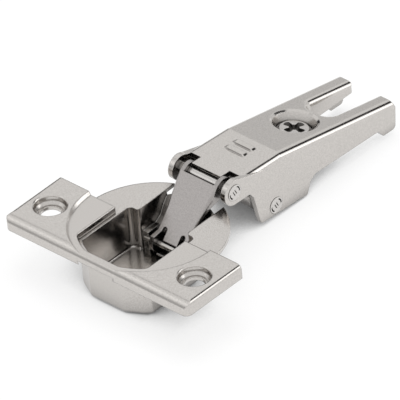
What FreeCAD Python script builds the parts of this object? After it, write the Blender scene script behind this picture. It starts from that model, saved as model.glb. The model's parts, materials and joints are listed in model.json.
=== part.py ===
import FreeCAD, Part
import math
import os

V = FreeCAD.Vector

# Concealed cup hinge, shown open.
# The frame is the door's: X runs along the wing, Y towards the door edge, Z out of the door face.
# The origin is the axis of the cup bore on the door face.
# All lengths are in millimetres and all angles in degrees.

# Cup and rim disc
cup_bore_r = 17.5
cup_gap = 0.1
cup_depth = 12.0
cup_sheet = 0.8
rim_r = 20.0
rim_sheet = 0.95
rim_front_y = -18.3
pocket_half = 10.9
facets = ((11.7, -12.7), (10.1, -14.1), (5.4, -16.5))
pocket_back_y = 4.8
slot_half = 8.15
shelf_y = 6.0
shelf_z = -6.1
trough_half = 6.5
rim_dip_half = 4.2
rim_dip = 0.35
pocket_corner_r = 1.3
ridge_r = 0.9
cup_bottom_r = 1.5

# Wing plate
wing_half = 30.5
wing_front_y = -19.5
wing_back_y = 0.5
wing_height = 4.0
wing_sheet = 1.0
wing_front_r = 3.0
wing_end_r = 1.3
wing_corner_r = 1.8
sunk_depth = 1.0
sunk_r = 19.9
sunk_slope = 0.35
aperture_half = 11.56
aperture_front_y = -16.8
aperture_r = 17.7
collar_wall = 0.8
screw_pitch = 48.0
screw_line_y = -9.5
screw_hole_r = 2.6
well_r = 4.1
well_floor_r = 3.4
well_cone_z = 2.3
well_floor_z = 1.6
rim_round = 0.4

# Pivots in the section plane, as (y, z)
outer_pivot = (6.5, -8.3)
inner_pivot = (10.1, -7.2)
nose_pivot = (21.17, 4.18)
tab_pivot = (35.07, -8.02)
cup_pin_r = 0.9
pin_fit = 0.05

# Outer link
web_start = (8.7, -4.6)
web_angle = 47.0
web_length = 14.5
web_sheet = 1.0
link_half_low = 4.9
link_half_high = 6.2
link_taper_length = 12.0
link_flange = 1.2
link_bend_r = 0.7
link_ear_low_r = 2.3
link_ear_high_r = 2.8
tongue_half = 2.3
tongue_length = 3.2
notch_length = 0.6

# Inner link
strap_half = 3.5
strap_sheet = 1.0
lug_r = 1.5
lug_wall = 1.0
eye_r = 3.3
eye_clearance = 1.15

# Arm
arm_half = 9.5
arm_sheet = 1.5
arm_bend_r = 1.9
ear_r = 3.5
nose_y = 21.4
nose_z = 6.87
fold_y = 38.6
fold_z = 5.6
tail_y = 79.5
tail_z = -2.75
tongue_front_half = 4.8
nose_notch_y = 24.8
tongue_corner_r = 1.1
prong_corner_r = 1.6
fork_half = 4.2
fork_bottom_y = 60.9
fork_corner_r = 3.0
lip_sheet = 1.2
lip_bottom_z = -5.6
lip_r = 1.6
bar_half = 3.35
bar_width = 1.8
bar_depth = 0.45
bar_rows = (32.4, 35.5)

# Rivets
nose_rivet_r = 1.6
tab_rivet_r = 1.3
rivet_head_r = 2.2
rivet_head_height = 0.15
mark_depth = 0.12
mark_width = 0.35

# Overlay screw
screw_y = 53.5
dimple_r = 5.8
dimple_floor_r = 4.5
dimple_depth = 2.7
head_r = 4.0
head_height = 1.6
head_sink = 1.1
shank_r = 2.9
shank_length = 7.5
recess_depth = 1.1
recess_half = 3.2
recess_width = 1.1


def face_yz(points, x):
    corners = [V(x, y, z) for y, z in points]
    return Part.Face(Part.makePolygon(corners + corners[:1]))


def prism_x(points, x0, x1):
    return face_yz(points, x0).extrude(V(x1 - x0, 0, 0))


def prism_z(points, z0, z1):
    corners = [V(x, y, z0) for x, y in points]
    return Part.Face(Part.makePolygon(corners + corners[:1])).extrude(V(0, 0, z1 - z0))


def rod_x(pivot, r, x0, x1):
    return Part.makeCylinder(r, x1 - x0, V(x0, pivot[0], pivot[1]), V(1, 0, 0))


def rod_z(x, y, r, z0, z1):
    return Part.makeCylinder(r, z1 - z0, V(x, y, z0))


def box(x0, x1, y0, y1, z0, z1):
    return Part.makeBox(x1 - x0, y1 - y0, z1 - z0, V(x0, y0, z0))


def round_x(shape, r, points):
    # Rounds the edges that run along X through the named (y, z) points.
    found = []
    for edge in shape.Edges:
        a, b = edge.Vertexes[0].Point, edge.Vertexes[-1].Point
        if abs(a.y - b.y) > 1e-6 or abs(a.z - b.z) > 1e-6:
            continue
        if any(math.hypot(a.y - y, a.z - z) < 0.02 for y, z in points):
            found.append(edge)
    return shape.makeFillet(r, found)


def round_z(shape, r, points):
    # Rounds the upright edges through the named (x, y) points.
    found = []
    for edge in shape.Edges:
        a, b = edge.Vertexes[0].Point, edge.Vertexes[-1].Point
        if abs(a.x - b.x) > 1e-6 or abs(a.y - b.y) > 1e-6:
            continue
        if any(math.hypot(a.x - x, a.y - y) < 0.02 for x, y in points):
            found.append(edge)
    return shape.makeFillet(r, found)


def round_level(shape, r, z):
    # Rounds every edge that lies at one height.
    found = []
    for edge in shape.Edges:
        b = edge.BoundBox
        if abs(b.ZMin - z) < 1e-5 and abs(b.ZMax - z) < 1e-5:
            found.append(edge)
    return shape.makeFillet(r, found)


def save(shape, name):
    shape = shape.removeSplitter()
    if shape.ShapeType == "Compound" and len(shape.Solids) == 1:
        shape = shape.Solids[0]
    shape.exportStep("parts/" + name + ".step")
    print(name, "solids", len(shape.Solids), "valid", shape.isValid(), "volume", round(shape.Volume, 1))
    return shape


def pocket_plan(inset, corner_r, z0, z1):
    # The pocket seen from above: straight sides, a front of flat facets, and rounded back corners.
    half = pocket_half + cup_sheet
    back_y = pocket_back_y + cup_sheet
    front = [(half, facets[0][1])] + list(facets[1:])
    right = [(half, back_y)] + front
    points = [V(x, y, z0) for x, y in right + [(-x, y) for x, y in right[::-1]]]
    face = Part.Face(Part.makePolygon(points + points[:1]))
    if inset > 0:
        face = face.makeOffset2D(-inset, 2)
    plan = face.extrude(V(0, 0, z1 - z0))
    half = half - inset
    back_y = back_y - inset
    return round_z(plan, corner_r, [(-half, back_y), (half, back_y)])


def shelf_profile(drop, top):
    # The section of the shelf and ramp. The floor points come first, then the open top.
    floor = [
        (shelf_y, shelf_z), (10.5, shelf_z), (12.2, shelf_z + 1.1),
        (13.7, -2.5), (14.8, -1.1), (16.4, 0.0),
    ]
    lowered = [(y + drop * 0.5, z - drop) for y, z in floor]
    return lowered + [(rim_r + 2, lowered[-1][1]), (rim_r + 2, top), (shelf_y + drop * 0.5, top)]


def corner_trim(x, y, toward_x, toward_y, r, z0, z1):
    # What rounding takes off the upright corner at x, y of metal that lies toward the given signs.
    cx, cy = x + toward_x * r, y + toward_y * r
    x0, x1 = sorted((x, cx))
    y0, y1 = sorted((y, cy))
    return box(x0, x1, y0, y1, z0, z1).cut(rod_z(cx, cy, r, z0 - 1, z1 + 1))


def make_cup():
    s = cup_sheet
    outer_r = cup_bore_r - cup_gap
    inner_r = outer_r - s
    body = pocket_plan(0, pocket_corner_r + s, -cup_depth, rim_sheet)
    body = round_level(body, cup_bottom_r, -cup_depth)
    deep = box(-trough_half - s, trough_half + s, pocket_back_y, outer_r, -cup_depth, rim_sheet)
    deep = deep.common(rod_z(0, 0, outer_r, -cup_depth, rim_sheet))
    neck = box(-slot_half - s, slot_half + s, pocket_back_y, shelf_y + s, -cup_depth, rim_sheet)
    shelf = prism_x(shelf_profile(s, rim_sheet), -slot_half - s, slot_half + s)
    shelf = shelf.common(rod_z(0, 0, outer_r, -cup_depth, rim_sheet))
    disc = rod_z(0, 0, rim_r, 0, rim_sheet)
    disc = disc.cut(box(-rim_r, rim_r, -rim_r - 1, rim_front_y, -1, 2))
    top = rim_sheet + 1
    floor = -cup_depth + s
    pocket = pocket_plan(s, pocket_corner_r, floor, top)
    pocket = round_level(pocket, cup_bottom_r - s, floor)
    trough = box(-trough_half, trough_half, 0, inner_r, floor, top)
    trough = trough.common(rod_z(0, 0, inner_r, floor, top))
    throat = box(-slot_half, slot_half, 0, shelf_y, floor, top)
    ramp = prism_x(shelf_profile(0, top), -slot_half, slot_half)
    cup = body.fuse([deep, neck, shelf, disc])
    for void in (pocket, trough, throat, ramp):
        cup = cup.cut(void)
    for side in (-1, 1):
        cup = cup.cut(corner_trim(side * slot_half, pocket_back_y, side, 1, ridge_r, floor, top))
    cup = cup.cut(box(-rim_dip_half, rim_dip_half, shelf_y, rim_r + 1, -rim_dip, top))
    cup = cup.cut(rod_x(outer_pivot, cup_pin_r, -slot_half - s - 1, slot_half + s + 1))
    cup = cup.cut(rod_x(inner_pivot, cup_pin_r, -trough_half - s - 1, trough_half + s + 1))
    return save(cup, "cup")


def wing_block(inset, z0, z1):
    # The front roll and the end bends meet in a mitre at the front corners.
    half, front, back = wing_half - inset, wing_front_y + inset, wing_back_y - inset
    rolled = box(-half, half, front, back, z0, z1)
    rolled = round_x(rolled, wing_front_r - inset, [(front, z1)])
    bent = box(-half, half, front, back, z0, z1)
    found = []
    for edge in bent.Edges:
        b = edge.BoundBox
        if b.YLength > 1 and abs(b.ZMin - z1) < 1e-5 and b.XLength < 1e-5:
            found.append(edge)
    bent = bent.makeFillet(wing_end_r - inset, found)
    plan = round_z(box(-half, half, front, back, z0, z1), wing_corner_r, [(-half, front), (half, front)])
    return rolled.common(bent).common(plan)


def aperture(extra, z0, z1):
    half = aperture_half + extra
    front = aperture_front_y - extra
    r = aperture_r + extra
    plan = box(-half, half, front, wing_back_y + 1, z0, z1).common(rod_z(0, 0, r + 0.001, z0, z1))
    plan = plan.fuse(box(-half, half, -6, wing_back_y + 1, z0, z1)).removeSplitter()
    corner_y = -math.sqrt((r + 0.001) ** 2 - half * half)
    corner_x = math.sqrt((r + 0.001) ** 2 - front * front)
    corners = [(-half, corner_y), (half, corner_y), (-corner_x, front), (corner_x, front)]
    return round_z(plan, 1.6 + extra, corners)


def make_wing():
    t = wing_sheet
    plate = wing_block(0, 0, wing_height)
    plate = plate.cut(wing_block(t, -1, wing_height - t))
    low = wing_height - sunk_depth
    within = wing_block(t * 0.5, -1, wing_height)
    patch = rod_z(0, 0, sunk_r + t, low - t, wing_height - t).common(within)
    plate = plate.fuse(patch)
    step = Part.makeCone(sunk_r - sunk_slope, sunk_r + sunk_slope, sunk_depth, V(0, 0, low))
    plate = plate.cut(step.fuse(rod_z(0, 0, sunk_r + sunk_slope, wing_height, wing_height + 1)))
    seat = rim_sheet + 0.02
    collar = aperture(collar_wall, seat, low - t * 0.5).common(within)
    plate = plate.fuse(collar)
    plate = plate.cut(aperture(0, -1, wing_height + 1))
    for x in (-screw_pitch / 2, screw_pitch / 2):
        plate = add_well(plate, x)
    over_rim = rod_z(0, 0, rim_r + 0.3, -1, seat)
    plate = plate.cut(over_rim)
    plate = round_aperture(plate.removeSplitter(), low)
    return save(plate, "wing_plate")


def add_well(plate, x):
    # A screw well drawn down into the plate, with a cone that centres the screw's head.
    y, t = screw_line_y, wing_sheet
    plate = plate.fuse(rod_z(x, y, well_r + t, well_floor_z - t, wing_height - 0.5 * t))
    cone = Part.makeCone(well_floor_r, well_r, well_cone_z - well_floor_z, V(x, y, well_floor_z))
    mouth = Part.makeCone(well_r, well_r + rim_round, rim_round, V(x, y, wing_height - rim_round))
    plate = plate.cut(cone.fuse([rod_z(x, y, well_r, well_cone_z, wing_height + 1), mouth]))
    return plate.cut(rod_z(x, y, screw_hole_r, -1, wing_height))


def round_aperture(plate, z):
    # Rounds the upper rim of the opening over the cup's pocket.
    rim = []
    for edge in plate.Edges:
        b = edge.BoundBox
        level = abs(b.ZMin - z) < 1e-5 and abs(b.ZMax - z) < 1e-5
        inside = b.XMin > -aperture_half - 0.01 and b.XMax < aperture_half + 0.01
        if level and inside and b.YMin > aperture_front_y - 0.01:
            rim.append(edge)
    return plate.makeFillet(rim_round, rim)


def web_point(s, offset):
    # A point on the outer link's section: s along the web from its low corner, offset behind its face.
    a = math.radians(web_angle)
    y = web_start[0] + s * math.cos(a) + offset * math.sin(a)
    z = web_start[1] + s * math.sin(a) - offset * math.cos(a)
    return (y, z)


def on_web(shape):
    # Lays a shape that was drawn flat, with Y along the web and Z out of its face, onto the web.
    shape.rotate(V(0, 0, 0), V(1, 0, 0), web_angle)
    shape.translate(V(0, web_start[0], web_start[1]))
    return shape


def taper_block(trim):
    low = link_half_low - trim
    high = link_half_high - trim
    plan = [(-low, -8), (low, -8), (low, 0), (high, link_taper_length), (high, 24), (-high, 24)]
    plan = plan + [(-high, link_taper_length), (-low, 0)]
    return on_web(prism_z(plan, -14, 14))


def web_notch(side):
    # The round headed notch between the tongue and a flange.
    inside = link_half_low - link_flange
    x0, x1 = sorted((side * tongue_half, side * inside))
    notch = box(x0, x1, -7, -notch_length, -3, 1)
    return on_web(notch.fuse(rod_z((x0 + x1) / 2, -notch_length, (x1 - x0) / 2, -3, 1)))


def make_outer_link():
    wide = 8
    py, pz = outer_pivot
    ny, nz = nose_pivot
    band = [
        web_point(web_length, 0), (ny, nz + link_ear_high_r), (ny + 1, nz), (ny - 1.6, nz - 2.3),
        web_point(8.6, 1.5), web_point(6.0, 1.2), web_point(0.6, web_sheet), web_point(-3.2, web_sheet),
        (py, pz), (py - 2.25, pz + 0.6), (py - 1.4, pz + 2.6), web_point(-1.0, 0.0), web_point(0.5, 0.0),
    ]
    side_view = prism_x(band, -wide, wide)
    side_view = side_view.fuse([
        rod_x(outer_pivot, link_ear_low_r, -wide, wide),
        rod_x(nose_pivot, link_ear_high_r, -wide, wide),
    ])
    flanges = side_view.common(taper_block(0).cut(taper_block(link_flange)))
    sheet = [web_point(-tongue_length, 0), web_point(web_length, 0)]
    sheet = sheet + [web_point(web_length, web_sheet), web_point(-tongue_length, web_sheet)]
    web = prism_x(sheet, -wide, wide).common(taper_block(0.2))
    for side in (-1, 1):
        web = web.cut(web_notch(side))
    inside = link_half_low - link_flange
    beyond = [web_point(-0.9, -1), web_point(-0.9, 3), web_point(-7, 3), web_point(-7, -1)]
    outside = prism_x(beyond, -wide, wide)
    keep = box(-inside - 0.01, inside + 0.01, -10, 30, -20, 20)
    web = web.cut(outside.cut(keep))
    link = flanges.fuse(web).removeSplitter()
    link = round_bends(link)
    link = link.cut(rod_x(outer_pivot, cup_pin_r + pin_fit, -wide, wide))
    link = link.cut(rod_x(nose_pivot, nose_rivet_r + pin_fit, -wide, wide))
    return save(link, "outer_link")


def round_bends(link):
    # Rounds the two long bends between the outer link's web and its flanges.
    bends = []
    for edge in link.Edges:
        a, b = edge.Vertexes[0].Point, edge.Vertexes[-1].Point
        if edge.Length < 8 or abs(a.x) < link_half_low - 0.1 or a.x * b.x < 0:
            continue
        if all(abs(behind_face(p)) < 0.001 for p in (a, b)):
            bends.append(edge)
    return link.makeFillet(link_bend_r, bends)


def behind_face(p):
    # How far a point lies behind the front face of the web.
    a = math.radians(web_angle)
    return (p.y - web_start[0]) * math.sin(a) - (p.z - web_start[1]) * math.cos(a)


def strap_outline():
    # Centre points of the bent strap from the low lugs over the cup rim to the eye.
    return [
        (11.2, -6.2), (12.4, -3.55), (14.2, -1.35), (16.1, 0.62),
        (18.0, 0.9), (22.6, 0.9), (25.6, -0.9), (33.3, -6.5),
    ]


def thick_line(points, t):
    left, right = [], []
    n = len(points)
    for i, (y, z) in enumerate(points):
        y0, z0 = points[max(i - 1, 0)]
        y1, z1 = points[min(i + 1, n - 1)]
        d0 = math.atan2(z - z0, y - y0) if i > 0 else math.atan2(z1 - z, y1 - y)
        d1 = math.atan2(z1 - z, y1 - y) if i < n - 1 else d0
        mid = (d0 + d1) / 2
        h = t / 2 / math.cos((d1 - d0) / 2)
        left.append((y - h * math.sin(mid), z + h * math.cos(mid)))
        right.append((y + h * math.sin(mid), z - h * math.cos(mid)))
    return left, right


def make_inner_link():
    left, right = thick_line(strap_outline(), strap_sheet)
    strap = prism_x(left + right[::-1], -strap_half, strap_half)
    for r, pick in ((1.6, right[3:4]), (0.6, left[3:4]), (1.6, left[5:6])):
        strap = round_x(strap, r, pick)
    py, pz = inner_pivot
    lug = [
        (py, pz + lug_r), left[0], left[1], left[2],
        right[2], (14.2, -4.4), (py + 1.2, pz - 0.9), (py, pz),
    ]
    lugs = prism_x(lug, -strap_half, strap_half).fuse(rod_x(inner_pivot, lug_r, -strap_half, strap_half))
    lugs = lugs.cut(box(-strap_half + lug_wall, strap_half - lug_wall, -10, 30, -20, 20))
    eye = rod_x(tab_pivot, eye_r, -strap_half, strap_half)
    link = strap.fuse([lugs, eye])
    low_end = rod_x(inner_pivot, lug_r + 0.25, -strap_half + lug_wall, strap_half - lug_wall)
    link = link.cut(low_end)
    link = link.cut(rod_x(inner_pivot, cup_pin_r + pin_fit, -9, 9))
    link = link.cut(rod_x(tab_pivot, tab_rivet_r + eye_clearance, -9, 9))
    return save(link, "inner_link")


def top_z(y):
    # Height of the arm's outer top face.
    if y <= fold_y:
        return nose_z + (fold_z - nose_z) * (y - nose_y) / (fold_y - nose_y)
    return fold_z + (tail_z - fold_z) * (y - fold_y) / (tail_y - fold_y)


def arm_section():
    # The side view of the arm: ear, top facets, tail, cut-away under side, tab and throat.
    ny, nz = nose_pivot
    top_end = tail_y - 0.6
    return [
        (ny, nz + ear_r), (nose_notch_y, top_z(nose_notch_y)), (fold_y, fold_z),
        (top_end, top_z(top_end)), (tail_y, -4.5), (78.9, -10.7), (74.4, -10.5),
        (72.9, -8.25), (49.6, -7.1), (47.6, -8.5), (46.2, -11.6), (43.3, -11.2),
        (29.5, -10.3), (27.7, -1.3), (26.4, 0.5), (ny, nz - ear_r),
    ]


def fork_plan(extra, z0, z1):
    # The fork's open slot seen from above, made larger all round by extra.
    half, bottom = fork_half + extra, fork_bottom_y - extra
    plan = box(-half, half, bottom, tail_y + 5, z0, z1)
    return round_z(plan, fork_corner_r + extra, [(-half, bottom), (half, bottom)])


def fork_lip():
    # The sheet turned down round the slot, which stiffens the two prongs.
    y0, y1 = fork_bottom_y - lip_sheet - 1, tail_y + 1
    side_view = [(y0, top_z(y0)), (y1, top_z(y1)), (y1, lip_bottom_z), (y0, lip_bottom_z)]
    return fork_plan(lip_sheet, -20, 20).common(prism_x(side_view, -arm_half, arm_half))


def round_fork(arm):
    # Rounds the slot's upper edge, where the sheet bends down into the lip.
    edges = []
    for edge in arm.Edges:
        ends = [vertex.Point for vertex in edge.Vertexes]
        on_top = all(abs(p.z - top_z(p.y)) < 1e-3 for p in ends)
        round_slot = all(abs(p.x) < fork_half + 0.01 and p.y > fork_bottom_y - 0.01 for p in ends)
        if on_top and round_slot and edge.Length > 0.5:
            edges.append(edge)
    return arm.makeFillet(lip_r, edges)


def make_arm():
    section = arm_section()
    block = prism_x(section, -arm_half, arm_half)
    block = round_x(block, 1.2, [(78.9, -10.7), (49.6, -7.1), (47.6, -8.5)])
    block = round_x(block, 0.6, [(29.5, -10.3), (46.2, -11.6), (26.4, 0.5), (74.4, -10.5)])
    tops = []
    for edge in block.Edges:
        b = edge.BoundBox
        on_side = abs(abs(b.Center.x) - arm_half) < 1e-5 and b.XLength < 1e-5
        if not on_side or b.YLength < 5:
            continue
        a, c = edge.Vertexes[0].Point, edge.Vertexes[-1].Point
        if all(abs(p.z - top_z(p.y)) < 1e-4 for p in (a, c)):
            tops.append(edge)
    block = block.makeFillet(arm_bend_r, tops)
    ear = rod_x(nose_pivot, ear_r, -arm_half, arm_half)
    tongue = prism_x(
        [(nose_y, nose_z), (nose_notch_y, top_z(nose_notch_y)), (nose_notch_y, 3), (nose_y, 3)],
        -tongue_front_half, tongue_front_half,
    )
    tongue = round_z(tongue, tongue_corner_r, [(-tongue_front_half, nose_y), (tongue_front_half, nose_y)])
    arm = block.fuse([ear, tongue])
    t = arm_sheet
    hollow = [(10, -20), (90, -20), (90, top_z(90) - t), (fold_y, fold_z - t), (10, top_z(10) - t)]
    arm = arm.cut(prism_x(hollow, -arm_half + t, arm_half - t))
    side_notch = box(tongue_front_half, arm_half - t, 10, nose_notch_y, -20, 20)
    arm = arm.cut(side_notch)
    arm = arm.cut(side_notch.mirror(V(0, 0, 0), V(1, 0, 0)))
    arm = arm.cut(box(-arm_half + t, arm_half - t, 10, nose_y, -20, 20))
    arm = arm.fuse(fork_lip().common(block))
    arm = arm.cut(fork_plan(0, -20, 20))
    arm = round_fork(arm.removeSplitter())
    for side in (-1, 1):
        arm = arm.cut(corner_trim(side * fork_half, tail_y, side, -1, prong_corner_r, -20, 20))
    arm = add_dimple(arm)
    for y in bar_rows:
        bar = box(-bar_half, bar_half, y - bar_width / 2, y + bar_width / 2, -bar_depth, 2)
        ends = [(sx * bar_half, y + sy * bar_width / 2) for sx in (-1, 1) for sy in (-1, 1)]
        bar = round_z(bar, bar_width * 0.45, ends)
        bar.translate(V(0, 0, top_z(y)))
        arm = arm.cut(bar)
    arm = arm.cut(rod_x(nose_pivot, nose_rivet_r, -10, 10))
    arm = arm.cut(rod_x(tab_pivot, tab_rivet_r, -10, 10))
    return save(arm, "arm")


def screw_frame(shape):
    # Places a shape made about the Z axis on the far facet, with its origin on the outer face.
    slope = math.degrees(math.atan2(tail_z - fold_z, tail_y - fold_y))
    shape.rotate(V(0, 0, 0), V(1, 0, 0), slope)
    shape.translate(V(0, screw_y, top_z(screw_y)))
    return shape


def add_dimple(arm):
    t = arm_sheet
    bowl = Part.makeCone(dimple_floor_r, dimple_r, dimple_depth, V(0, 0, -dimple_depth))
    wall = 0.9
    shell_base = V(0, 0, -dimple_depth - t)
    shell = Part.makeCone(dimple_floor_r + wall, dimple_r + wall, dimple_depth + 0.3, shell_base)
    arm = arm.fuse(screw_frame(shell.common(rod_z(0, 0, arm_half - t, -9, 0))))
    mouth = Part.makeCone(dimple_r - 0.1, dimple_r + rim_round, rim_round, V(0, 0, -rim_round))
    arm = arm.cut(screw_frame(bowl.fuse(mouth)))
    return arm.cut(screw_frame(rod_z(0, 0, shank_r + pin_fit, -9, 1)))


def make_screw():
    head = rod_z(0, 0, head_r, -head_sink - head_height, -head_sink)
    head = round_level(head, 0.35, -head_sink)
    shank = rod_z(0, 0, shank_r, -head_sink - head_height - shank_length, -head_sink - head_height)
    screw = head.fuse(shank)
    for angle in (0, 90):
        half = recess_width / 2
        slot = box(-recess_half, recess_half, -half, half, -head_sink - recess_depth, 0)
        slot.rotate(V(0, 0, 0), V(0, 0, 1), angle)
        screw = screw.cut(slot)
    return save(screw_frame(screw), "overlay_screw")


def stake_marks(pivot, x0, x1):
    # Two crescents and two short bars that the riveting punch leaves in a head.
    outer = rivet_head_r - 0.35
    ring = rod_x(pivot, outer, x0, x1).cut(rod_x(pivot, outer - mark_width, x0, x1))
    y, z = pivot
    side = box(x0, x1, y - 3, y + 3, z - 0.9, z + 0.9).cut(box(x0, x1, y - 0.9, y + 0.9, z - 3, z + 3))
    marks = [ring.common(side)]
    for dy in (-0.35, 0.35):
        marks.append(box(x0, x1, y + dy - 0.14, y + dy + 0.14, z - 0.75, z + 0.75))
    marks = marks[0].fuse(marks[1:])
    marks.rotate(V(0, y, z), V(1, 0, 0), 25)
    return marks


def make_rivet(pivot, r, name):
    end = arm_half + rivet_head_height
    rivet = rod_x(pivot, r, -arm_half, arm_half)
    for x0, x1 in ((-end, -arm_half), (arm_half, end)):
        rivet = rivet.fuse(rod_x(pivot, rivet_head_r, x0, x1))
    rivet = rivet.cut(stake_marks(pivot, end - mark_depth, end + 1))
    rivet = rivet.cut(stake_marks(pivot, -end - 1, -end + mark_depth))
    return save(rivet, name)


def make_spring():
    py, pz = inner_pivot
    leg = [(py - 0.3, pz - 1.5), (8.3, -9.7), (6.3, -10.1), (4.8, -9.9), (3.9, -9.3)]
    left, right = thick_line(leg, 0.5)
    strip = prism_x(left + right[::-1], -tongue_half + 0.1, tongue_half - 0.1)
    curl = rod_x(inner_pivot, cup_pin_r + pin_fit + 0.5, -tongue_half + 0.1, tongue_half - 0.1)
    spring = strip.fuse(curl).cut(rod_x(inner_pivot, cup_pin_r + pin_fit, -9, 9))
    return save(spring, "closing_spring")


os.makedirs("parts", exist_ok=True)
make_cup()
make_wing()
save(rod_x(outer_pivot, cup_pin_r, -slot_half - cup_sheet, slot_half + cup_sheet), "cup_pin_outer")
save(rod_x(inner_pivot, cup_pin_r, -trough_half - cup_sheet, trough_half + cup_sheet), "cup_pin_inner")
make_spring()
make_outer_link()
make_inner_link()
make_arm()
make_rivet(nose_pivot, nose_rivet_r, "front_rivet")
make_rivet(tab_pivot, tab_rivet_r, "rear_rivet")
make_screw()
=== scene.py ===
# %% [markdown]
# A concealed cup hinge, nickel plated, lying open.
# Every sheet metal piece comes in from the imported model. What is left for Blender is the
# plating, the cut thread of the overlay screw, two details of the arm, and a photographer's
# table: a pale floor, a soft lamp and a long lens.

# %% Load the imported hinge
import json
import math

import bmesh
import bpy
from mathutils import Matrix, Vector


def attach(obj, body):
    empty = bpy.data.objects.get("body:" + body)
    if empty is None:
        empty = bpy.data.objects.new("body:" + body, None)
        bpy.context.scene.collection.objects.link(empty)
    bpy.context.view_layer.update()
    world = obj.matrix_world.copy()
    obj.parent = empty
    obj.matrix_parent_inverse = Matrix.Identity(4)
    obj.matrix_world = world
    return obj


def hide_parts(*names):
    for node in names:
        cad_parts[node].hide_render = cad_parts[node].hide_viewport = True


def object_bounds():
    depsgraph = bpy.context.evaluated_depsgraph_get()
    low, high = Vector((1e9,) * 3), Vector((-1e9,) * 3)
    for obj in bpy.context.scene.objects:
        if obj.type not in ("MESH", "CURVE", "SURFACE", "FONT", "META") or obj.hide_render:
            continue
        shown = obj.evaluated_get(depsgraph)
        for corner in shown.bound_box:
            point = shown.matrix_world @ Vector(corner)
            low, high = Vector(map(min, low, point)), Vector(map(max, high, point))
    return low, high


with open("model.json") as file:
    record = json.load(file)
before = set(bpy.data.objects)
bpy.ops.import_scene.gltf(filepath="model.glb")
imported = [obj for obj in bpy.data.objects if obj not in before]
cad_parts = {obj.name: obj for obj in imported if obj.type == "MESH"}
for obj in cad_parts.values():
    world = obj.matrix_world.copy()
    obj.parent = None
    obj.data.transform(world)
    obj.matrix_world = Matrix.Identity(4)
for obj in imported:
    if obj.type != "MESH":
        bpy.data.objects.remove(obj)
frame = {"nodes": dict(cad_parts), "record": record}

MM = 0.001
cad_low, cad_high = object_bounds()
print("hinge, mm:", [round((high - low) / MM, 1) for low, high in zip(cad_low, cad_high)])

# %% [markdown]
# A catalogue picture of a hinge is taken from above and from one side. A camera could be aimed
# by hand or made to track the hinge. Here its place is given by two angles round the hinge and
# a small roll, because numbers can be corrected a little at a time until the picture matches.
# The three axes of the picture are worked out once, and the camera is later turned to them.

# %% Axes of the picture
AZIMUTH = math.radians(45.70)
ELEVATION = math.radians(36.65)
ROLL = math.radians(-5.55)

toward_camera = Vector((
    math.sin(AZIMUTH) * math.cos(ELEVATION),
    -math.cos(AZIMUTH) * math.cos(ELEVATION),
    math.sin(ELEVATION),
))
level_right = Vector((math.cos(AZIMUTH), math.sin(AZIMUTH), 0.0))
level_up = toward_camera.cross(level_right)
picture_right = math.cos(ROLL) * level_right + math.sin(ROLL) * level_up
picture_up = math.cos(ROLL) * level_up - math.sin(ROLL) * level_right
print("direction toward the camera:", [round(part, 3) for part in toward_camera])

# %% [markdown]
# The photographer stands far away with a long lens, so that parallel edges stay parallel.
# An orthographic camera would do that too, but a real lens is what took the picture.
# It looks at a point half way down the depth of the hinge, where the lens draws true to size,
# and its distance follows from the width that the picture shows there.

# %% Camera
PICTURE_CENTRE = Vector((1.96, 16.50, 1.41)) * MM
PICTURE_WIDTH = 98.16 * MM
LENS = 1500.0
SENSOR = 36.0
NEAREST_SHOWN = 0.1
FARTHEST_SHOWN = 20.0

camera_data = bpy.data.cameras.new("camera")
camera_data.lens = LENS
camera_data.sensor_width = SENSOR
camera_data.clip_start = NEAREST_SHOWN
camera_data.clip_end = FARTHEST_SHOWN
camera = bpy.data.objects.new("camera", camera_data)
bpy.context.scene.collection.objects.link(camera)
distance = PICTURE_WIDTH * LENS / SENSOR
turn_to_axes = Matrix((picture_right, picture_up, toward_camera)).transposed().to_4x4()
camera.matrix_world = Matrix.Translation(PICTURE_CENTRE + toward_camera * distance) @ turn_to_axes
bpy.context.scene.camera = camera
print("camera stands off, m:", round(distance, 2))

# %% [markdown]
# A material is a small graph of nodes. Each node could be added and set in lines of its own,
# but the same few steps come back for every finish of the hinge. So one helper makes an empty
# material, one adds a node and sets its values by name, and one turns a range of values into
# another, which the folds, the floor and the room all need.

# %% Helpers for node graphs
def new_material(name):
    material = bpy.data.materials.new(name)
    material.use_nodes = True
    return material, material.node_tree


def add_node(tree, kind, **values):
    """Adds a node. Each value goes to the input of that name, or else to the setting."""
    node = tree.nodes.new(kind)
    for key, value in values.items():
        if key in node.inputs:
            node.inputs[key].default_value = value
        else:
            setattr(node, key, value)
    return node


def map_range(tree, value, low, high, to_low, to_high, curve="LINEAR"):
    """Turns values from low to high into values from to_low to to_high."""
    node = add_node(tree, "ShaderNodeMapRange", interpolation_type=curve)
    node.inputs["From Min"].default_value = low
    node.inputs["From Max"].default_value = high
    node.inputs["To Min"].default_value = to_low
    node.inputs["To Max"].default_value = to_high
    tree.links.new(value, node.inputs["Value"])
    return node.outputs["Result"]


# %% [markdown]
# Folds and narrow gaps get a painted shade: the colour of the metal is made darker there.
# The folds could be painted by hand. An ambient occlusion node does it for all pieces at once:
# it measures how shut in each point is, and a map range node turns that into a darker colour.

# %% Painted shade in the folds
SHUT_IN = 0.25
UNSHADED_FROM = 0.85
FOLD_SAMPLES = 8


def painted_shade_in_folds(tree, unshaded, reach, darkest_share):
    """Paints shade into a colour: darker, down to the darkest share, where walls stand nearer
    than reach in mm.
    """
    openness = add_node(tree, "ShaderNodeAmbientOcclusion", Distance=reach * MM)
    openness.samples = FOLD_SAMPLES
    # painted shade: the colour gets darker where walls stand close round the point
    share = map_range(tree, openness.outputs["AO"], SHUT_IN, UNSHADED_FROM, darkest_share, 1.0)
    shaded = add_node(tree, "ShaderNodeVectorMath", operation="SCALE")
    tree.links.new(unshaded, shaded.inputs[0])
    tree.links.new(share, shaded.inputs["Scale"])
    return shaded.outputs["Vector"]


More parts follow.
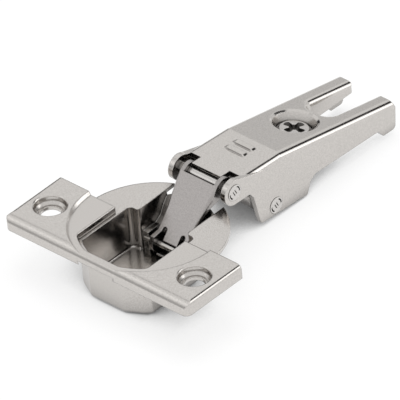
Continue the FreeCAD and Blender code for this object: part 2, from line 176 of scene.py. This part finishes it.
# %% [markdown]
# The rolled sheet under the plating has a fine grain, and tumbling rounds each cut edge a
# little. Both could be put into the mesh, but they are far finer than its faces. So a noise
# pushes the light on the surface in and out through a bump node, and a bevel node rounds the
# light on the edges.

# %% Grain and rounded edges
GRAIN_DETAIL = 2.0
GRAIN_ROUGHNESS = 0.6
GRAIN_DEPTH = 0.05
EDGE_SAMPLES = 8


def rolled_grain(tree, grain_size):
    """A fine noise that stays on the piece when it moves. grain_size is in mm."""
    place = add_node(tree, "ShaderNodeTexCoord")
    noise = add_node(
        tree, "ShaderNodeTexNoise",
        Scale=1.0 / (grain_size * MM), Detail=GRAIN_DETAIL, Roughness=GRAIN_ROUGHNESS,
    )
    tree.links.new(place.outputs["Object"], noise.inputs["Vector"])
    return noise.outputs["Fac"]


def tumbled_surface(tree, noise, grain, edge):
    """The normal of grained metal with edges rounded by edge, in mm."""
    rounded = add_node(tree, "ShaderNodeBevel", Radius=edge * MM)
    rounded.samples = EDGE_SAMPLES
    bump = add_node(tree, "ShaderNodeBump", Strength=grain, Distance=GRAIN_DEPTH * MM)
    tree.links.new(noise, bump.inputs["Height"])
    tree.links.new(rounded.outputs["Normal"], bump.inputs["Normal"])
    return bump.outputs["Normal"]


# %% [markdown]
# Nickel plating is a metal, so its colour is the colour of its reflections. One flat colour
# would look like paint. The same noise that makes the grain makes the colour a little uneven,
# which gives the faint speckle of plated sheet, and then the folds get a painted shade.

# %% Plated steel
PALE_SPECKLE_FROM = 0.75
DARK_SPECKLE_TO = 0.25


def speckled(tree, noise, colour, speckle):
    """The colour, darker and paler by the share speckle from grain to grain."""
    tint = add_node(tree, "ShaderNodeValToRGB")
    dark, pale = tint.color_ramp.elements
    dark.position = DARK_SPECKLE_TO
    pale.position = PALE_SPECKLE_FROM
    dark.color = (*[part * (1.0 - speckle) for part in colour], 1.0)
    pale.color = (*[min(1.0, part * (1.0 + speckle)) for part in colour], 1.0)
    tree.links.new(noise, tint.inputs["Fac"])
    return tint.outputs["Color"]


def plated_steel(
    name, colour, roughness,
    grain=0.12, grain_size=0.30, edge=0.32, speckle=0.13, reach=3.0, darkest_share=0.35,
):
    """Plated sheet metal with painted shade in its folds. grain is the bump's strength;
    grain_size, edge and reach are in mm.
    """
    material, tree = new_material(name)
    shader = tree.nodes["Principled BSDF"]
    shader.inputs["Metallic"].default_value = 1.0
    shader.inputs["Roughness"].default_value = roughness
    noise = rolled_grain(tree, grain_size)
    tree.links.new(tumbled_surface(tree, noise, grain, edge), shader.inputs["Normal"])
    unshaded = speckled(tree, noise, colour, speckle)
    tree.links.new(painted_shade_in_folds(tree, unshaded, reach, darkest_share), shader.inputs["Base Color"])
    return material


# %% [markdown]
# The cup, the plate and the arm of a real hinge come out of the same nickel bath, but drawing
# leaves each with its own gloss. One shared material would be simpler. Each piece gets its own
# here, because the painted shade in the cup's deep pocket and the arm's channel reaches much
# farther from their walls than on the flat plate.

# %% Finishes of the sheet metal
NICKEL = (0.57, 0.545, 0.52)
GREY_NICKEL = (0.38, 0.36, 0.35)
DULL_NICKEL = (0.50, 0.48, 0.46)

# each finish gets painted shade in its folds; reach and the darkest share set how far and how
# dark
finishes = {
    "wing_plate": plated_steel("wing_plating", NICKEL, roughness=0.16, edge=0.5),
    "arm": plated_steel("arm_plating", NICKEL, roughness=0.16, reach=6.0, darkest_share=0.2),
    "cup": plated_steel(
        "cup_plating", NICKEL, roughness=0.18, edge=0.5, reach=9.0, darkest_share=0.38,
    ),
    "outer_link": plated_steel("link_plating", GREY_NICKEL, roughness=0.26),
    "inner_link": plated_steel("inner_link_plating", DULL_NICKEL, roughness=0.26),
}
print("sheet metal finishes:", len(finishes))

# %% [markdown]
# Pins, rivets and the screw are turned and not rolled, so they have less grain. The spring is
# bare hardened steel and much darker. Each could have a graph of its own. They use the same
# helper with other numbers, because only the colour, the gloss, the grain and, on the rivets,
# the painted shade in the folds differ.

# %% Finishes of the turned pieces and the spring
PIN_STEEL = (0.55, 0.53, 0.51)
BRIGHT_STEEL = (0.62, 0.60, 0.58)
SPRING_STEEL = (0.30, 0.29, 0.28)

pin_finish = plated_steel("pin_steel", PIN_STEEL, roughness=0.20, grain=0.04)
rivet_finish = plated_steel("rivet_steel", BRIGHT_STEEL, roughness=0.20, grain=0.05, darkest_share=0.8)
spring_finish = plated_steel("spring_steel", SPRING_STEEL, roughness=0.30, grain=0.06)
screw_finish = plated_steel("screw_plating", BRIGHT_STEEL, roughness=0.22, grain=0.05)
finishes.update({
    "cup_pin_outer": pin_finish,
    "cup_pin_inner": pin_finish,
    "front_rivet": rivet_finish,
    "rear_rivet": rivet_finish,
    "closing_spring": spring_finish,
    "overlay_screw": screw_finish,
})
print("finished pieces:", len(finishes))

# %% [markdown]
# The riveting punch leaves small marks in each rivet head, and their floors get a painted
# shade, near black. They could be separate faces with a material of their own, but the rivet
# comes in as one piece. All the floors lie at one distance from the hinge's middle plane, so a
# compare node finds them by that distance and paints the shade only on them.

# %% Painted shade on the floors of the punch marks
MARK_FLOOR = 9.53
MARK_FLOOR_NEARNESS = 0.02
MARK_SHADE = (0.03, 0.028, 0.025)


def paint_shade_in_marks(material):
    tree = material.node_tree
    shader = tree.nodes["Principled BSDF"]
    unshaded = shader.inputs["Base Color"].links[0].from_socket
    place = add_node(tree, "ShaderNodeTexCoord")
    split = add_node(tree, "ShaderNodeSeparateXYZ")
    tree.links.new(place.outputs["Object"], split.inputs["Vector"])
    away = add_node(tree, "ShaderNodeMath", operation="ABSOLUTE")
    tree.links.new(split.outputs["X"], away.inputs[0])
    at_floor = add_node(tree, "ShaderNodeMath", operation="COMPARE")
    at_floor.inputs[1].default_value = MARK_FLOOR * MM
    at_floor.inputs[2].default_value = MARK_FLOOR_NEARNESS * MM
    tree.links.new(away.outputs["Value"], at_floor.inputs[0])
    # painted shade: where a point lies on the floor of a mark, its colour becomes MARK_SHADE
    mixed = add_node(tree, "ShaderNodeMixRGB")
    mixed.inputs["Color2"].default_value = (*MARK_SHADE, 1.0)
    tree.links.new(at_floor.outputs["Value"], mixed.inputs["Fac"])
    tree.links.new(unshaded, mixed.inputs["Color1"])
    tree.links.new(mixed.outputs["Color"], shader.inputs["Base Color"])


paint_shade_in_marks(rivet_finish)
print("rivet marks painted at, mm:", MARK_FLOOR)

# %% [markdown]
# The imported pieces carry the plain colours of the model. Their meshes stay as they are, and
# only the material in each of their slots is changed for the finish of that name.

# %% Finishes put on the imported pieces
for node, finish in finishes.items():
    for slot in frame["nodes"][node].material_slots:
        slot.material = finish
print("pieces with their finish:", sorted(finishes))

# %% [markdown]
# The overlay screw is a real screw with a cut thread and a cross recess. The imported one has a
# plain shank, a plain cross and a head that stands a little high in its dimple. A thread could
# be swept along a helix and joined to the shank. Here the whole screw is built from rings of
# points stacked along its axis, which makes one closed skin without any joining.

# %% Axis of the overlay screw
joints = frame["record"]["behaviour"]["joints"]
turning = next(joint for joint in joints if joint["name"] == "overlay_adjust")
screw_origin = Vector(turning["pos_m"])
screw_axis = Vector(turning["axis"]).normalized()
side_x = Vector((1.0, 0.0, 0.0))
side_y = screw_axis.cross(side_x)
print("screw origin, mm:", [round(part / MM, 2) for part in screw_origin])

# %% [markdown]
# One ring is a circle of points at one depth, and the distance of each point from the axis is
# asked from a small function. So the same two helpers make the round head, the cross and the
# thread, and a smooth or a sharp look is chosen band by band.

# %% Rings and the bands between them
STEPS_ROUND = 96


def add_ring(mesh, depth, radius_at):
    """A ring of points round the axis. radius_at gives the radius for a turn from 0 to 1."""
    ring = []
    for step in range(STEPS_ROUND):
        turn = step / STEPS_ROUND
        angle = 2.0 * math.pi * turn
        out = side_x * math.cos(angle) + side_y * math.sin(angle)
        ring.append(mesh.verts.new(screw_origin + screw_axis * depth + out * radius_at(turn)))
    return ring


def join_rings(mesh, upper, lower, smooth, slot):
    """A band of four sided faces between two rings."""
    for step in range(STEPS_ROUND):
        after = (step + 1) % STEPS_ROUND
        face = mesh.faces.new((upper[step], lower[step], lower[after], upper[after]))
        face.smooth = smooth
        face.material_index = slot


print("points in a ring:", STEPS_ROUND)

# %% [markdown]
# The cross is struck by a punch with four arms, and a driver's tip fits it. It could be cut
# out of the head with a boolean. As rings it needs only a radius that is long toward each arm
# and short between, with a floor that is a little smaller than its mouth.

# %% Outline of the cross
CROSS_ARM_END = 3.1 * MM
CROSS_ARM_SIDE = 0.92
CROSS_LOBE = 1.35 * MM
CROSS_SPREAD = math.radians(22.0)
CROSS_CORNER = math.radians(8.0)
CROSS_CORNER_CURVE = 0.6
QUARTER = math.pi / 2


def cross_radius(turn):
    """Half width of the cross in one direction: long arms, with round lobes between them."""
    angle = 2.0 * math.pi * turn
    from_arm = abs((angle + QUARTER / 2) % QUARTER - QUARTER / 2)
    if from_arm < CROSS_SPREAD:
        return CROSS_ARM_END * (1.0 - (1.0 - CROSS_ARM_SIDE) * (from_arm / CROSS_SPREAD) ** 2)
    share = min(1.0, (from_arm - CROSS_SPREAD) / CROSS_CORNER)
    side = CROSS_ARM_END * CROSS_ARM_SIDE
    return side + (CROSS_LOBE - side) * share ** CROSS_CORNER_CURVE


TOWARD_ARM, TOWARD_LOBE = 0.0, 0.125
cross_sizes = [round(cross_radius(turn) / MM, 2) for turn in (TOWARD_ARM, TOWARD_LOBE)]
print("cross, half width at an arm and at a lobe, mm:", cross_sizes)

# %% [markdown]
# The head is a low disc with a rounded upper edge. From the floor of the cross outward, each
# ring is joined to the next: up the wall of the cross, over the face, round the edge, down the
# side and in again to the shank. The cross gets the second material, a dark grey that is
# painted shade inside it.

# %% Head of the screw
HEAD_R = 4.0 * MM
HEAD_TOP = -1.75 * MM
HEAD_UNDER = -2.7 * MM
HEAD_EDGE = 0.35 * MM
SHANK_R = 2.40 * MM
RECESS_FLOOR = -2.6 * MM
RECESS_FLOOR_SHARE = 0.72
LEAST_FACE = 0.1 * MM
PLATED, IN_RECESS = 0, 1


def face_radius(turn):
    return max(cross_radius(turn) + LEAST_FACE, HEAD_R - HEAD_EDGE)


screw = bmesh.new()
recess_floor = add_ring(screw, RECESS_FLOOR, lambda turn: cross_radius(turn) * RECESS_FLOOR_SHARE)
recess_mouth = add_ring(screw, HEAD_TOP, cross_radius)
face_rim = add_ring(screw, HEAD_TOP, face_radius)
head_side = add_ring(screw, HEAD_TOP - HEAD_EDGE, lambda turn: HEAD_R)
head_under = add_ring(screw, HEAD_UNDER, lambda turn: HEAD_R)
neck = add_ring(screw, HEAD_UNDER, lambda turn: SHANK_R)
screw.faces.new(recess_floor).material_index = IN_RECESS
join_rings(screw, recess_floor, recess_mouth, False, IN_RECESS)
join_rings(screw, recess_mouth, face_rim, False, PLATED)
join_rings(screw, face_rim, head_side, True, PLATED)
join_rings(screw, head_side, head_under, True, PLATED)
join_rings(screw, head_under, neck, False, PLATED)
print("head faces:", len(screw.faces))

# %% [markdown]
# A machine screw's thread has one start and a pitch of 1 mm. In each ring the distance from
# the axis rises to the crest and falls again once in a turn, and from ring to ring that crest
# moves on with the depth. So the crest climbs round the shank by itself. It stops short of the
# head, and fades over the last turn.

# %% Cut thread
THREAD_PITCH = 1.0 * MM
THREAD_R = 2.88 * MM
THREAD_START = -3.1 * MM
SCREW_END = -10.2 * MM
THREAD_ROOT_SHARE = 0.1
THREAD_FLANK_SHARE = 0.75
THREAD_ROWS = 84


def thread_radius(depth, turn):
    """Distance from the axis at one depth and one turn, from 0 to 1, round the screw."""
    if depth > THREAD_START:
        return SHANK_R
    along = (depth / THREAD_PITCH - turn) % 1.0
    up_flank = (1.0 - abs(2.0 * along - 1.0) - THREAD_ROOT_SHARE) / THREAD_FLANK_SHARE
    crest = max(0.0, min(1.0, up_flank))
    fade = max(0.0, min(1.0, (depth - SCREW_END) / THREAD_PITCH))
    return SHANK_R + (THREAD_R - SHANK_R) * crest * fade


above = neck
for row in range(1, THREAD_ROWS + 1):
    depth = HEAD_UNDER + (SCREW_END - HEAD_UNDER) * row / THREAD_ROWS
    below = add_ring(screw, depth, lambda turn: thread_radius(depth, turn))
    join_rings(screw, above, below, True, PLATED)
    above = below
screw.faces.new(above[::-1])
print("head and thread faces:", len(screw.faces))

# %% [markdown]
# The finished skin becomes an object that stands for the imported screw. It rides on the
# screw's own body, so it turns when the overlay is adjusted.

# %% The screw as an object
RECESS_SHADE = (0.09, 0.085, 0.08)

bmesh.ops.recalc_face_normals(screw, faces=screw.faces)
screw_mesh = bpy.data.meshes.new("threaded_overlay_screw")
screw.to_mesh(screw_mesh)
screw.free()
screw_mesh.materials.append(screw_finish)
# the cross gets a dark grey as painted shade inside the recess
screw_mesh.materials.append(plated_steel("recess_painted_shade", RECESS_SHADE, roughness=0.5, grain=0.2))
threaded_screw = bpy.data.objects.new("threaded_overlay_screw", screw_mesh)
bpy.context.scene.collection.objects.link(threaded_screw)
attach(threaded_screw, "screw_body")
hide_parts("overlay_screw")
print("screw faces:", len(screw_mesh.polygons))

# %% [markdown]
# On the real arm two short bars are pressed up out of the front face, as a mark of its kind.
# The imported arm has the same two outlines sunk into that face. New bars could be joined on
# with a boolean. Instead the arm's mesh is copied, and in the copy the floor of each sunk bar
# is lifted above the face and drawn in a little, so its walls turn into slopes. The round ends
# are pushed out toward square corners, as the punch has them.

# %% Shape of the pressed bars
BAR_ROWS = (32.4 * MM, 35.5 * MM)
BAR_HALF_LENGTH = 3.35 * MM
BAR_HALF_WIDTH = 0.90 * MM
BAR_CORNER_R = 0.81 * MM
BAR_RISE = 0.42 * MM
BAR_END_SLOPE = 0.62 * MM
BAR_SIDE_SLOPE = 0.16 * MM
SQUARENESS = 4
FACE_HEIGHT = 6.0578 * MM
FACE_FALL = -0.07384


def face_z(y):
    """Height of the arm's front face, which falls in a straight line toward the fold."""
    return FACE_HEIGHT + FACE_FALL * (y - BAR_ROWS[0])


def squared(x, across):
    """Pushes a point of a bar's rounded corner out toward a square corner."""
    u = (abs(x) - (BAR_HALF_LENGTH - BAR_CORNER_R)) / BAR_CORNER_R
    w = (abs(across) - (BAR_HALF_WIDTH - BAR_CORNER_R)) / BAR_CORNER_R
    if u <= 0.0 or w <= 0.0:
        return x, across
    grow = BAR_CORNER_R * ((u ** SQUARENESS + w ** SQUARENESS) ** (-1.0 / SQUARENESS) - 1.0)
    return x + math.copysign(u * grow, x), across + math.copysign(w * grow, across)


face_heights = [round(face_z(row) / MM, 2) for row in BAR_ROWS]
print("height of the face at the bars, mm:", face_heights)

# %% [markdown]
# A point of a bar is known by where it is: inside the bar's outline, and not as deep as the
# underside of the sheet. Of these, the ones well below the face are the floor.

# %% Pressed bars of the arm
OUTLINE_LENGTH_MARGIN = 1.01
OUTLINE_WIDTH_MARGIN = 1.02
FLOOR_DEEPER_THAN = 0.3 * MM
FLOOR_SHALLOWER_THAN = 0.6 * MM

arm_mesh = frame["nodes"]["arm"].data.copy()
lifted = 0
for row in BAR_ROWS:
    for vertex in arm_mesh.vertices:
        place = vertex.co
        in_length = abs(place.x) < BAR_HALF_LENGTH * OUTLINE_LENGTH_MARGIN
        in_width = abs(place.y - row) < BAR_HALF_WIDTH * OUTLINE_WIDTH_MARGIN
        sunk = face_z(place.y) - place.z
        if not (in_length and in_width) or sunk > FLOOR_SHALLOWER_THAN:
            continue
        place.x, across = squared(place.x, place.y - row)
        on_floor = sunk > FLOOR_DEEPER_THAN
        if on_floor:
            place.x *= 1.0 - BAR_END_SLOPE / BAR_HALF_LENGTH
            across *= 1.0 - BAR_SIDE_SLOPE / BAR_HALF_WIDTH
            lifted += 1
        place.y = row + across
        place.z = face_z(place.y) + (BAR_RISE if on_floor else 0.0)
print("points lifted in the bars:", lifted)

# %% [markdown]
# The front edge of the same face is a short tongue between the two ears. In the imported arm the
# round of the ears runs across it as a hump. On the real arm the tongue is flat to its edge, so
# the points of the hump are brought down into the plane of the face. Under the tongue its points
# move back from the edge, so that it stands clear of the rivet and leaves a dark gap before it.

# %% Flat tongue of the arm
TONGUE_HALF = 4.85 * MM
TONGUE_FRONT_Y = 21.4 * MM
TONGUE_ROOT_Y = 24.8 * MM
TONGUE_SHEET = 1.5 * MM
TONGUE_UNDERCUT = 1.6 * MM
AT_THE_ROOT = 0.02
LOWEST_TONGUE_Z = 3.0 * MM

flattened = 0
for vertex in arm_mesh.vertices:
    place = vertex.co
    from_root = (TONGUE_ROOT_Y - place.y) / (TONGUE_ROOT_Y - TONGUE_FRONT_Y)
    if abs(place.x) > TONGUE_HALF or from_root < AT_THE_ROOT or place.z < LOWEST_TONGUE_Z:
        continue
    if place.z > face_z(place.y):
        place.z = face_z(place.y)
    else:
        place.y += TONGUE_UNDERCUT * from_root
        place.z = face_z(place.y) - TONGUE_SHEET
    flattened += 1
print("points moved in the tongue:", flattened)

# %% [markdown]
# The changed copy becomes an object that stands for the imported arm. It keeps the arm's plating
# and rides on the arm's body, with the rivets and the screw.

# %% The arm as an object
arm_mesh.update()
barred_arm = bpy.data.objects.new("barred_arm", arm_mesh)
bpy.context.scene.collection.objects.link(barred_arm)
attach(barred_arm, "arm_unit")
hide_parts("arm")
print("arm faces:", len(arm_mesh.polygons))

# %% [markdown]
# The hinge lies on a wide table. A backdrop could curve up behind it, but the picture shows
# only the table's top, so one flat sheet is enough. It is part of the studio, not of the
# hinge, and lies just under the lowest corner of the metal.

# %% Sheet of the light table
FLOOR_HALF = 3.0
FLOOR_GAP = 0.2 * MM

floor_z = cad_low.z - FLOOR_GAP
floor_mesh = bpy.data.meshes.new("floor")
corner_signs = ((-1, -1), (1, -1), (1, 1), (-1, 1))
corners = [(x * FLOOR_HALF, y * FLOOR_HALF, floor_z) for x, y in corner_signs]
floor_mesh.from_pydata(corners, [], [(0, 1, 2, 3)])
floor = bpy.data.objects.new("floor", floor_mesh)
bpy.context.scene.collection.objects.link(floor)
print("floor height, mm:", round(floor_z / MM, 2))

# %% [markdown]
# It is a light table, whose sheet glows from below. White paper would need many lamps to
# become so white, and they would draw hard shadows. With an even glow the hinge would seem to
# float. An ambient occlusion node measures how covered the sheet is, and where the hinge
# stands close above it the glow is made weaker: a painted shadow, short and soft as in the
# picture.

# %% Glow of the light table, with a painted shadow
PAPER_COLOUR = (0.20, 0.20, 0.20, 1.0)
PAPER_ROUGHNESS = 0.9
GLOW_COLOUR = (1.0, 1.0, 1.0, 1.0)
COVER_REACH = 24.0 * MM
COVERED, UNCOVERED = 0.12, 0.42
PAINTED_SHADOW_GLOW, FULL_GLOW = 0.05, 0.76

paper, paper_tree = new_material("paper")
paper_shader = paper_tree.nodes["Principled BSDF"]
paper_shader.inputs["Base Color"].default_value = PAPER_COLOUR
paper_shader.inputs["Roughness"].default_value = PAPER_ROUGHNESS
paper_shader.inputs["Emission Color"].default_value = GLOW_COLOUR
cover = add_node(paper_tree, "ShaderNodeAmbientOcclusion", Distance=COVER_REACH)
# painted shadow: the glow is weaker where the hinge covers the sheet
glow = map_range(paper_tree, cover.outputs["AO"], COVERED, UNCOVERED, PAINTED_SHADOW_GLOW, FULL_GLOW)
paper_tree.links.new(glow, paper_shader.inputs["Emission Strength"])
floor_mesh.materials.append(paper)
print("glow of the open table:", FULL_GLOW)

# %% [markdown]
# Metal shows what surrounds it. A photographer puts shiny parts into a pale tent and hangs
# cards in it, so that each bend catches a dark or a bright line. The tent could be built of
# real sheets. As a world made of nodes it is infinitely far away, so a card is only a direction
# and a size, and nothing of it gets between the hinge and the lens.

# %% Pale tent
HORIZON = (0.80, 0.80, 0.80, 1.0)
TENT_TOP = (1.0, 1.0, 1.0, 1.0)
TENT_TOP_FROM = 0.50

world = bpy.data.worlds.new("room")
world.use_nodes = True
bpy.context.scene.world = world
room = world.node_tree
room_place = add_node(room, "ShaderNodeTexCoord")
room_split = add_node(room, "ShaderNodeSeparateXYZ")
room_ramp = add_node(room, "ShaderNodeValToRGB")
low_part, high_part = room_ramp.color_ramp.elements
low_part.position, low_part.color = 0.0, HORIZON
high_part.position, high_part.color = TENT_TOP_FROM, TENT_TOP
room.links.new(room_place.outputs["Generated"], room_split.inputs["Vector"])
room.links.new(room_split.outputs["Z"], room_ramp.inputs["Fac"])
print("tent brightness from", HORIZON[0], "to", TENT_TOP[0])

# %% [markdown]
# Each card is a round patch of one brightness. It is given by the part of the hinge that
# mirrors it, the direction in which it hangs, its brightness, and two angles in degrees: it is
# full within the first and has faded away at the second. Later cards cover earlier ones, as
# the dark cards of the arm's bend do with the bright ones beside them.

# %% Cards in the tent
CARDS = (
    ("outline of the left edges", (-0.86, 0.49, 0.06), 0.0, 19, 23),
    ("rear facet of the arm", (-0.574, 0.80, 0.15), 0.74, 8, 22),
    ("start of the plate's front roll", (-0.574, -0.10, 0.81), 0.76, 3, 9),
    ("low part of the roll", (-0.574, -0.81, 0.13), 0.55, 7, 14),
    ("highlight on the roll", (-0.574, -0.56, 0.59), 1.25, 5, 11),
    ("bright strip on the arm's bend, front", (0.67, 0.56, 0.48), 2.1, 8, 13),
    ("bright strip on the arm's bend, rear", (0.62, 0.74, 0.26), 2.1, 9, 14),
    ("dark line on the arm's bend, front", (0.335, 0.56, 0.757), 0.02, 10, 14),
    ("dark line on the arm's bend, rear", (0.240, 0.795, 0.557), 0.02, 10, 14),
)


def add_card(tree, before, direction, level, inner, outer):
    """Mixes one card into the room. inner and outer are angles in degrees."""
    place = add_node(tree, "ShaderNodeTexCoord")
    along = add_node(tree, "ShaderNodeVectorMath", operation="DOT_PRODUCT")
    along.inputs[1].default_value = Vector(direction).normalized()
    tree.links.new(place.outputs["Generated"], along.inputs[0])
    gone, full = math.cos(math.radians(outer)), math.cos(math.radians(inner))
    share = map_range(tree, along.outputs["Value"], gone, full, 0.0, 1.0, "SMOOTHSTEP")
    mixed = add_node(tree, "ShaderNodeMixRGB")
    mixed.inputs["Color2"].default_value = (level, level, level, 1.0)
    tree.links.new(share, mixed.inputs["Fac"])
    tree.links.new(before, mixed.inputs["Color1"])
    return mixed.outputs["Color"]


tent = room_ramp.outputs["Color"]
for shown_on, direction, level, inner, outer in CARDS:
    tent = add_card(room, tent, direction, level, inner, outer)
    print("card for the", shown_on)
room.links.new(tent, room.nodes["Background"].inputs["Color"])
room.nodes["Background"].inputs["Strength"].default_value = 1.0

# %% [markdown]
# One large soft lamp overhead whitens the floor and gives the hinge its faint shadow. A small
# lamp would draw hard shadows. The metal gets its light from the tent, so the lamp is kept out
# of its reflections: seen in a flat face from above, it would burn the face out.

# %% Overhead lamp
LAMP_PLACE = Vector((-0.15, 0.20, 1.20))
LAMP_AIM = Vector((0.0, 0.03, 0.0))
LAMP_SIDE = 1.0
LAMP_POWER = 7.0

lamp_data = bpy.data.lights.new("overhead_lamp", "AREA")
lamp_data.shape = "RECTANGLE"
lamp_data.size = LAMP_SIDE
lamp_data.size_y = LAMP_SIDE
lamp_data.energy = LAMP_POWER
overhead = bpy.data.objects.new("overhead_lamp", lamp_data)
bpy.context.scene.collection.objects.link(overhead)
overhead.location = LAMP_PLACE
overhead.rotation_mode = "QUATERNION"
overhead.rotation_quaternion = (LAMP_AIM - LAMP_PLACE).to_track_quat("-Z", "Y")
overhead.visible_glossy = False
print("lamp hangs from the hinge, m:", round((LAMP_AIM - LAMP_PLACE).length, 2))

# %% [markdown]
# Blender can bend the brightness of a render as film does, which turns white to grey. A
# catalogue picture has a pure white ground, so the plain standard view is set.

# %% Plain colours
bpy.context.scene.view_settings.view_transform = "Standard"
bpy.context.scene.view_settings.look = "None"
print("view:", bpy.context.scene.view_settings.view_transform)
